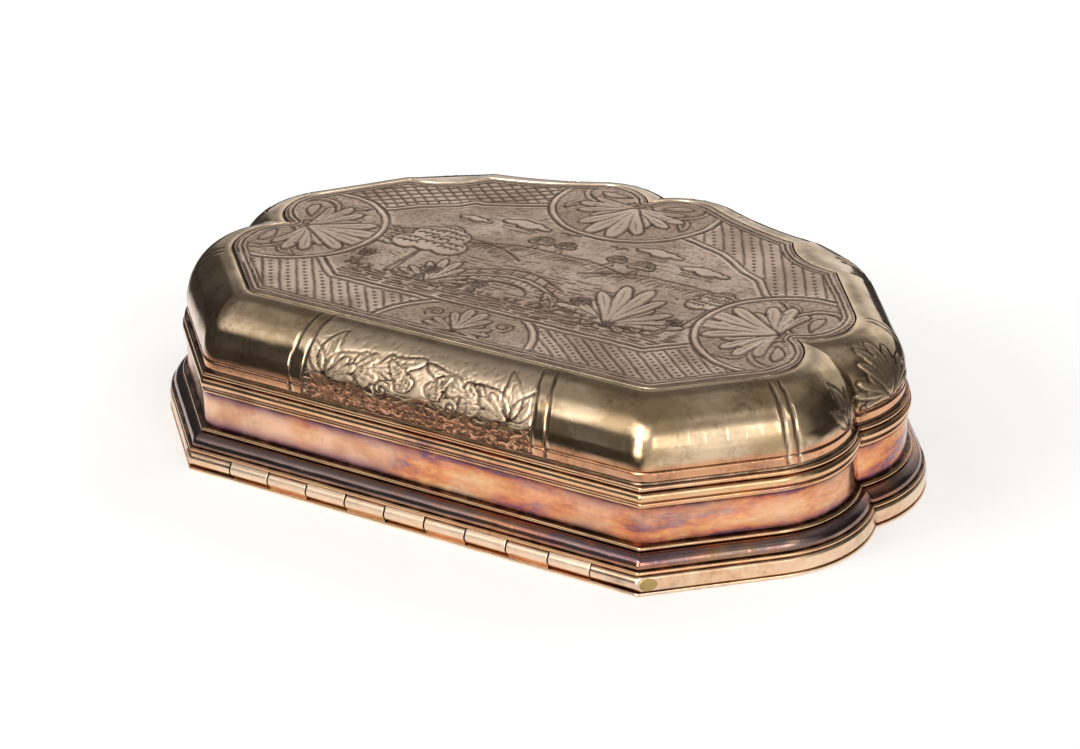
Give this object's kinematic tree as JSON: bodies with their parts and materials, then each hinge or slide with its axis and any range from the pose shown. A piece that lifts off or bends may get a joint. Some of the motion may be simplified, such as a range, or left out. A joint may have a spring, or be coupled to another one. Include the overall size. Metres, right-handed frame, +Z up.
{
  "type": "cartouche snuff box",
  "caption": "Shaped cartouche snuff box in gilt copper, base uppermost, with an engraved base plate, swelling shoulder, moulded sides and a hinged lid beneath.",
  "frame": {"origin": "on the flat underside of the lid, at the middle of the box's plan", "axes": "+X along the hinge, +Y from the hinge side to the lobed far side, +Z up through the engraved base plate"},
  "size_m": [0.096, 0.0686, 0.021],
  "materials": {
    "engraved_copper": "satin, engraved and worn gilding",
    "gilt_brass": "polished, lightly scratched",
    "worn_copper": "polished copper with purple and blue tarnish",
    "pale_gilt": "polished pale gilding",
    "plug_brass": "dull brass",
    "pin_steel": "plain"
  },
  "bodies": {
    "lid": {"lid_plate": "pale_gilt", "lid_rim": "pale_gilt", "lid_bezel": "worn_copper", "lid_knuckle_2": "pale_gilt", "lid_knuckle_4": "pale_gilt", "lid_knuckle_6": "pale_gilt", "lid_knuckle_8": "pale_gilt", "hinge_pin": "pin_steel", "pin_plug_left": "plug_brass", "pin_plug_right": "plug_brass"},
    "case": {"base_plate": "engraved_copper", "shoulder": "gilt_brass", "waist_bead_upper": "worn_copper", "waist_bead_lower": "worn_copper", "side_wall": "worn_copper", "foot_moulding": "worn_copper", "case_rim": "worn_copper", "case_knuckle_1": "pale_gilt", "case_knuckle_3": "pale_gilt", "case_knuckle_5": "pale_gilt", "case_knuckle_7": "pale_gilt", "case_knuckle_9": "pale_gilt"}
  },
  "joints": [
    {"name": "lid_hinge", "type": "hinge", "parent": "lid", "child": "case", "pos_m": [0, -0.03335, 0.0014], "axis": [1, 0, 0], "range_deg": [0, 95]}
  ]
}
